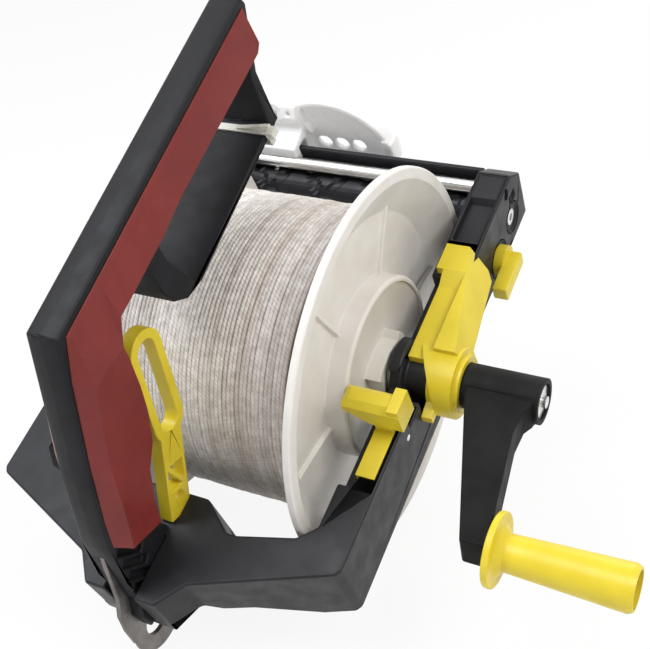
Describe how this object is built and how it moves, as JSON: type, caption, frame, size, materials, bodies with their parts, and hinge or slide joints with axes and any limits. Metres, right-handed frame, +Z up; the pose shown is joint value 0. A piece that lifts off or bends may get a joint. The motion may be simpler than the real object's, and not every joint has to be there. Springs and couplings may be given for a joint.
{
  "type": "electric fence reel",
  "caption": "Hand-carried geared reel with a flanged cord drum between two frame arms, a crank, a level-winding line guide, a drum lock, a brake and a hanging hook.",
  "frame": {"origin": "on the ground under the middle of the reel's box, with the reel standing on its two flange rims and its hanging hook", "axes": "+X along the drum's axle towards the crank, +Y along the ground towards the line guide, +Z up"},
  "size_m": [0.3924, 0.3672, 0.3501],
  "materials": {
    "black_plastic": "fine moulded texture",
    "red_plastic": "satin",
    "yellow_plastic": "satin",
    "cream_plastic": "moulded",
    "white_plastic": "satin",
    "natural_plastic": "moulded",
    "bright_steel": "drawn",
    "hook_steel": "dull",
    "bronze": "turned",
    "belt_rubber": "matte",
    "cord": "twisted",
    "nylon": "translucent"
  },
  "bodies": {
    "frame": {"frame": "black_plastic", "front_channel": "black_plastic", "handle_right": "black_plastic", "handle_left": "black_plastic", "panel_right": "red_plastic", "panel_left": "red_plastic", "handle_screws": "bright_steel", "hanging_hook": "hook_steel", "cable_tie": "nylon", "axle": "bright_steel", "axle_washer": "bright_steel", "crank_bush": "bronze", "ring_gear": "bright_steel", "guide_rod": "bright_steel", "tip_screws": "bright_steel", "screw_bushes": "bronze", "drive_belt": "belt_rubber", "belt_cover": "black_plastic", "cover_screws": "bright_steel", "pawl_pin": "bright_steel", "pawl_spring": "bright_steel", "brake_pad": "belt_rubber"},
    "drum": {"flange_right": "cream_plastic", "flange_left": "cream_plastic", "hub_cap": "cream_plastic", "drum_barrel": "cream_plastic", "drum_bulkhead": "cream_plastic", "drum_bushes": "bronze", "sun_gear": "natural_plastic", "drum_pulley": "natural_plastic", "cord_core": "cord", "cord_winding": "cord"},
    "crank": {"crank_arm": "black_plastic", "planet_carrier": "bright_steel", "grip_pin": "bright_steel"},
    "grip": {"crank_grip": "yellow_plastic"},
    "planet_1": {"planet_1": "bright_steel"},
    "planet_2": {"planet_2": "bright_steel"},
    "planet_3": {"planet_3": "bright_steel"},
    "screw": {"level_screw": "black_plastic", "screw_shaft": "bright_steel", "screw_pulley": "natural_plastic"},
    "guide": {"line_guide": "white_plastic", "guide_follower": "bright_steel"},
    "selector": {"selector_lever": "yellow_plastic"},
    "knob": {"wing_knob": "yellow_plastic", "brake_rod": "bright_steel"},
    "pawl": {"drum_lock": "yellow_plastic"},
    "hook_handle": {"hook_handle": "yellow_plastic"}
  },
  "joints": [
    {"name": "drum_spin", "type": "hinge", "parent": "frame", "child": "drum", "pos_m": [-0.07375, 0.0076, 0.125], "axis": [1, 0, 0], "continuous": true},
    {"name": "crank_spin", "type": "hinge", "parent": "frame", "child": "crank", "pos_m": [-0.07375, 0.0076, 0.125], "axis": [1, 0, 0], "continuous": true},
    {"name": "grip_spin", "type": "hinge", "parent": "crank", "child": "grip", "pos_m": [-0.07375, -0.0986, 0.10536], "axis": [1, 0, 0], "continuous": true},
    {"name": "planet_1_spin", "type": "hinge", "parent": "crank", "child": "planet_1", "pos_m": [-0.01375, 0.04059, 0.1394], "axis": [1, 0, 0], "continuous": true},
    {"name": "planet_2_spin", "type": "hinge", "parent": "crank", "child": "planet_2", "pos_m": [-0.01375, -0.02137, 0.14638], "axis": [1, 0, 0], "continuous": true},
    {"name": "planet_3_spin", "type": "hinge", "parent": "crank", "child": "planet_3", "pos_m": [-0.01375, 0.00357, 0.08923], "axis": [1, 0, 0], "continuous": true},
    {"name": "screw_spin", "type": "hinge", "parent": "frame", "child": "screw", "pos_m": [-0.07375, 0.14883, 0.1689], "axis": [1, 0, 0], "continuous": true},
    {"name": "guide_slide", "type": "slide", "parent": "frame", "child": "guide", "axis": [1, 0, 0], "range_m": [-0.008, 0.138]},
    {"name": "selector_turn", "type": "hinge", "parent": "frame", "child": "selector", "pos_m": [-0.07375, 0.0076, 0.125], "axis": [1, 0, 0], "range_deg": [0, 40]},
    {"name": "brake_turn", "type": "hinge", "parent": "frame", "child": "knob", "pos_m": [0.04575, 0.11905, 0.14963], "axis": [1, 0, 0], "range_deg": [0, 120]},
    {"name": "lock_turn", "type": "hinge", "parent": "frame", "child": "pawl", "pos_m": [0.02275, -0.03504, 0.11021], "axis": [1, 0, 0], "range_deg": [-49, 0]},
    {"name": "hook_handle_lift", "type": "slide", "parent": "frame", "child": "hook_handle", "axis": [0, 0.0771, 0.997], "range_m": [0, 0.01]}
  ],
  "couplings": [
    {"joint": "crank_spin", "follows": "drum_spin", "ratio": 0.33333},
    {"joint": "screw_spin", "follows": "drum_spin", "ratio": 1},
    {"joint": "planet_1_spin", "follows": "drum_spin", "ratio": -1.3333},
    {"joint": "planet_2_spin", "follows": "drum_spin", "ratio": -1.3333},
    {"joint": "planet_3_spin", "follows": "drum_spin", "ratio": -1.3333}
  ]
}
